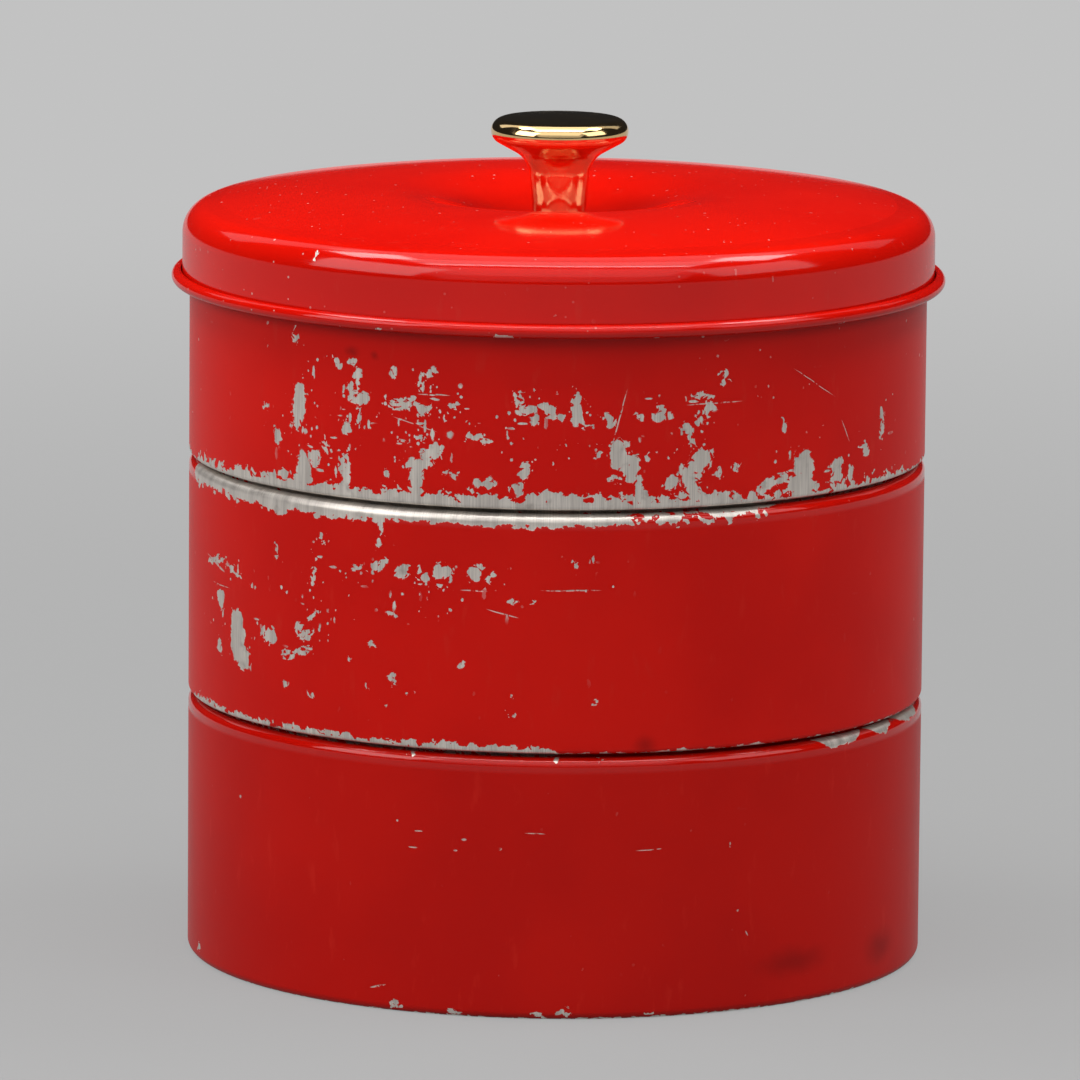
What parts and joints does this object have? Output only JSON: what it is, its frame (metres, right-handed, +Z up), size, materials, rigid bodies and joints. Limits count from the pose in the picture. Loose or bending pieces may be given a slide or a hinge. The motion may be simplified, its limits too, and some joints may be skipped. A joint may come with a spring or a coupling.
{
  "type": "stacking cake tin",
  "caption": "Round stacking cake tin of drawn sheet, with nesting tiers, a dished slip-over lid and a turned mushroom knob.",
  "frame": {"origin": "centre of the flat ring that the bottom tier stands on", "axes": "+Z up along the axis that all the tiers, the lid and the knob are turned about; the side seen in the picture faces -Y"},
  "size_m": [0.2518, 0.2518, 0.2744],
  "materials": {
    "red_lacquer": "glossy red lacquer over drawn aluminium, chipped to the metal along the rims and in patches",
    "gold_plate": "polished, gold-coloured plate",
    "plated_steel": "zinc-plated, satin"
  },
  "bodies": {
    "tier_bottom": {"tier_bottom": "red_lacquer"},
    "tier_middle": {"tier_middle": "red_lacquer"},
    "tier_top": {"tier_top": "red_lacquer"},
    "lid": {"lid": "red_lacquer", "knob": "gold_plate", "knob_screw": "plated_steel", "flat_washer": "plated_steel", "split_washer": "plated_steel"}
  },
  "joints": [
    {"name": "middle_lift", "type": "slide", "parent": "tier_bottom", "child": "tier_middle", "axis": [0, 0, 1], "range_m": [0, 0.12]},
    {"name": "top_lift", "type": "slide", "parent": "tier_middle", "child": "tier_top", "axis": [0, 0, 1], "range_m": [0, 0.12]},
    {"name": "lid_lift", "type": "slide", "parent": "tier_top", "child": "lid", "axis": [0, 0, 1], "range_m": [0, 0.12]}
  ]
}
